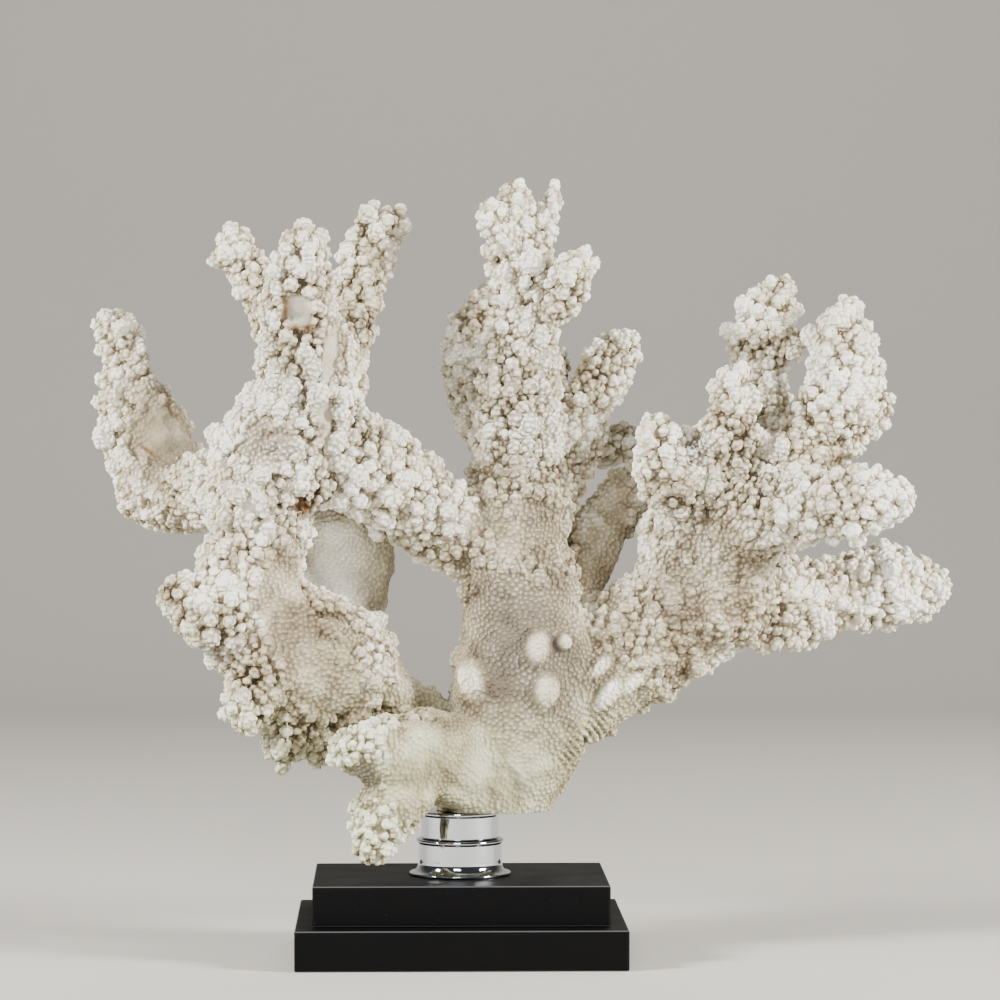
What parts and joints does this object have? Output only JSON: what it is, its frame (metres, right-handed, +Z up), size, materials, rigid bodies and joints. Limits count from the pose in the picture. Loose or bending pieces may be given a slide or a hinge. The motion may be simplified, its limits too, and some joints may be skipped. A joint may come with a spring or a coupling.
{
  "type": "branching coral on a stand",
  "caption": "Bleached branching coral with knobbly fingers and a broken crown, fixed to a bright metal collar on a stepped black plinth.",
  "frame": {"origin": "middle of the plinth's underside, where it stands on the table", "axes": "+Z up, the front of the coral towards -Y, its long fingers towards +X and its crown towards -X"},
  "size_m": [0.4315, 0.1307, 0.385],
  "materials": {
    "coral": "matt bleached coral skeleton, warm white with tan in its hollows",
    "plinth": "black satin lacquer over wood, lightly dusty",
    "collar": "polished chrome plate"
  },
  "bodies": {
    "root": {"plinth_lower_board": "plinth", "plinth_upper_board": "plinth", "collar_lower_drum": "collar", "collar_upper_drum": "collar", "coral_trunk": "coral", "coral_fan": "coral", "coral_tower": "coral", "coral_left_limb": "coral", "coral_crown": "coral", "coral_arch": "coral", "coral_front_lobe": "coral", "coral_fan_left_finger": "coral", "coral_fan_right_finger": "coral", "coral_upper_finger": "coral", "coral_lower_finger": "coral", "coral_centre_finger": "coral", "coral_tower_rear_finger": "coral", "coral_crown_left_tip": "coral", "coral_crown_right_tip": "coral", "coral_rear_plate": "coral", "coral_rear_bulb": "coral", "coral_rear_web": "coral", "coral_rear_small_finger": "coral"}
  },
  "joints": []
}
